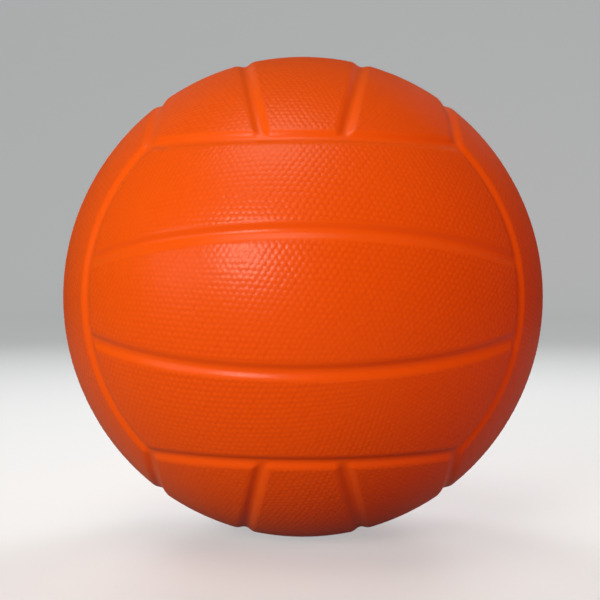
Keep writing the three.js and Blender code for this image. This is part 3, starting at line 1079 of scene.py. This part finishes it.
def add_bowl():
    """A round floor that curves up into a wall, with its faces towards the ball."""
    bend = np.linspace(0, math.pi / 2, BEND_STEPS + 1)
    radii = [FLOOR_MIDDLE, FLOOR_RADIUS / 2, *(FLOOR_RADIUS + FLOOR_BEND * np.sin(bend))]
    radii.append(radii[-1])
    heights = [0.0, 0.0, *(FLOOR_BEND - FLOOR_BEND * np.cos(bend)), WALL_HEIGHT]
    angles = np.arange(BOWL_SEGMENTS) * 2 * math.pi / BOWL_SEGMENTS
    rings = [
        np.stack([r * np.cos(angles), r * np.sin(angles), np.full(BOWL_SEGMENTS, z)], axis=-1)
        for r, z in zip(radii, heights)
    ]
    index = np.arange(len(rings) * BOWL_SEGMENTS).reshape(len(rings), BOWL_SEGMENTS)
    after = np.roll(index, -1, axis=1)
    sides = np.stack([index[:-1], after[:-1], after[1:], index[1:]], axis=-1).reshape(-1, 4)
    mesh = bpy.data.meshes.new("bowl")
    middle = index[0].tolist()
    mesh.from_pydata(np.concatenate(rings).tolist(), [], [middle, *sides[:, ::-1].tolist()])
    mesh.shade_smooth()
    return add_object("bowl", mesh)


bowl = add_bowl()
paper, paper_tree, paper_shader = new_material("matt_paper")
path = add_node(paper_tree, "ShaderNodeLightPath").outputs
clear_rays = add_node(
    paper_tree,
    "ShaderNodeMath",
    [path["Is Camera Ray"], path["Is Transmission Ray"]],
    operation="MAXIMUM",
)
highlight_rays = add_node(
    paper_tree,
    "ShaderNodeMath",
    [path["Is Glossy Ray"], STAGE_IN_HIGHLIGHTS],
    operation="MULTIPLY",
)
shown = add_node(paper_tree, "ShaderNodeMath", [clear_rays, highlight_rays], operation="MAXIMUM")
paper_colour = add_node(
    paper_tree,
    "ShaderNodeMix",
    {"Factor": shown, "A": colour(FLOOR_TO_LIGHT), "B": colour(FLOOR_TO_CAMERA)},
    data_type="RGBA",
)
glow = add_node(paper_tree, "ShaderNodeMath", [shown, FLOOR_GLOW], operation="MULTIPLY")
paper_tree.links.new(paper_colour.outputs["Result"], paper_shader.inputs["Base Color"])
paper_tree.links.new(glow.outputs["Value"], paper_shader.inputs["Emission Strength"])
paper_shader.inputs["Emission Color"].default_value = colour(FLOOR_TO_CAMERA)
paper_shader.inputs["Roughness"].default_value = 0.9
paper_shader.inputs["Specular IOR Level"].default_value = 0.2
bowl.data.materials.append(paper)

world = bpy.data.worlds.new("studio")
world.use_nodes = True
background = next(n for n in world.node_tree.nodes if n.type == "BACKGROUND")
background.inputs["Color"].default_value = colour(WORLD_COLOUR)
background.inputs["Strength"].default_value = WORLD_STRENGTH
bpy.context.scene.world = world
print("stage:", bowl.name, world.name)

# %% [markdown]
# Seven soft lamps stand round the ball. The key lamp, in front and to the left, makes the pale
# patch left of the middle, and another above it draws the lines of light on the upper seams. Fills
# at the ball's own height take the light round the sides, and are kept out of the highlights. Two
# of them are warm, as the faint light of the world is, so the shade stays a deep red-orange. Two
# lamps behind show the valve's side as well.
#
# Each lamp's beam is narrowed, as a honeycomb grid narrows a softbox, so that it lights the ball
# and the floor round it, and leaves the backdrop even. The two warm lamps have the narrowest
# beams, which keeps most of their colour off the floor.

# %% The lamps
LAMP_DISTANCE = 2.2
LAMPS = (
    # name, degrees right of the camera, degrees up, width, beam degrees, watts, colour, mirrored
    ("key", -26, 20, 0.65, 60, 2.0, "#FFFAEC", True),
    ("high_left", -32, 69, 1.3, 60, 1.85, "#FFF6E8", True),
    ("front_fill", -2, 8, 0.5, 40, 1.26, "#FFAC94", False),
    ("left_fill", -58, 8, 0.7, 60, 1.6, "#FFFFFF", False),
    ("right_fill", 98, 8, 0.5, 40, 0.64, "#FF9C80", False),
    ("back_right", 155, 30, 0.95, 60, 3.5, "#FFFFFF", False),
    ("back_left", -155, 30, 0.95, 60, 3.5, "#FFFFFF", False),
)


def add_lamp(name, right, up, width, beam, watts, hex_value, mirrored):
    """A soft square lamp on a sphere round the ball, facing it. Highlights show it if mirrored."""
    data = bpy.data.lights.new(name, "AREA")
    data.size = width
    data.spread = math.radians(beam)
    data.energy = watts
    data.color = colour(hex_value)[:3]
    lamp = bpy.data.objects.new(name, data)
    azimuth, elevation = math.radians(right), math.radians(up)
    level = Vector((math.sin(azimuth), -math.cos(azimuth), 0))
    outwards = level * math.cos(elevation) + UP * math.sin(elevation)
    lamp.location = BALL_CENTRE + outwards * LAMP_DISTANCE
    lamp.rotation_mode = "QUATERNION"
    lamp.rotation_quaternion = outwards.to_track_quat("Z", "Y")
    lamp.visible_glossy = mirrored
    bpy.context.scene.collection.objects.link(lamp)
    return lamp


lamps = [add_lamp(*lamp) for lamp in LAMPS]
bpy.context.scene.view_settings.view_transform = "Standard"
print(len(lamps), "lamps")
